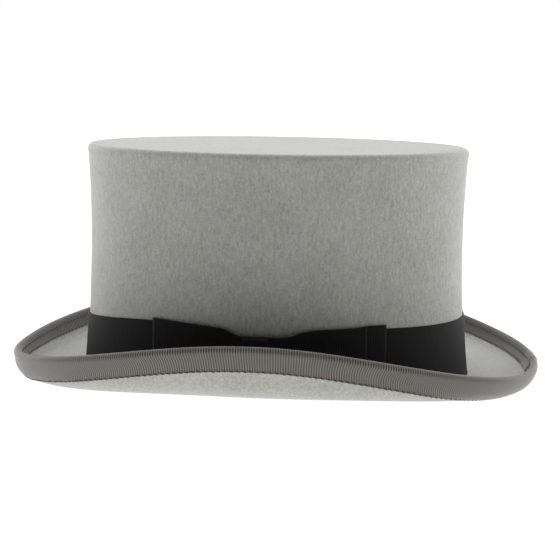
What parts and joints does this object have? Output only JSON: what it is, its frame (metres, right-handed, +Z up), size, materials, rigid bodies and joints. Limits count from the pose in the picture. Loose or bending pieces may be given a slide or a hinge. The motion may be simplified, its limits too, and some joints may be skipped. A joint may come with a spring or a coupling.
{
  "type": "top hat",
  "caption": "Stiff felt top hat with a flat crown, an upturned bound brim, a ribbon band with a flat bow, and a leather sweatband inside.",
  "frame": {"origin": "under the middle of the hat's outline, on the surface that the brim stands on", "axes": "+Z up; the wearer faces -Y, so -Y is the front and +Y the back; +X is the wearer's left, where the bow is"},
  "size_m": [0.2568, 0.2818, 0.1239],
  "materials": {
    "felt": "stiff wool felt, fine short nap, matt",
    "binding_ribbon": "ribbed grosgrain ribbon, taupe grey",
    "band_ribbon": "ribbed grosgrain ribbon, black",
    "thread_grey": "sewing thread",
    "thread_brown": "sewing thread",
    "lining_satin": "smooth satin",
    "leather": "smooth brown leather",
    "reed_cloth": "cloth-covered cord",
    "inner_bow_ribbon": "narrow satin ribbon",
    "wire": "plain steel wire"
  },
  "bodies": {
    "root": {"felt_body": "felt", "brim_binding": "binding_ribbon", "brim_wire": "wire", "binding_thread": "thread_grey", "hat_band": "band_ribbon", "bow_ribbon": "band_ribbon", "bow_knot": "band_ribbon", "lining_side": "lining_satin", "lining_tip": "lining_satin", "sweatband": "leather", "sweatband_reed": "reed_cloth", "sweatband_thread": "thread_brown", "sweatband_bow": "inner_bow_ribbon"}
  },
  "joints": []
}
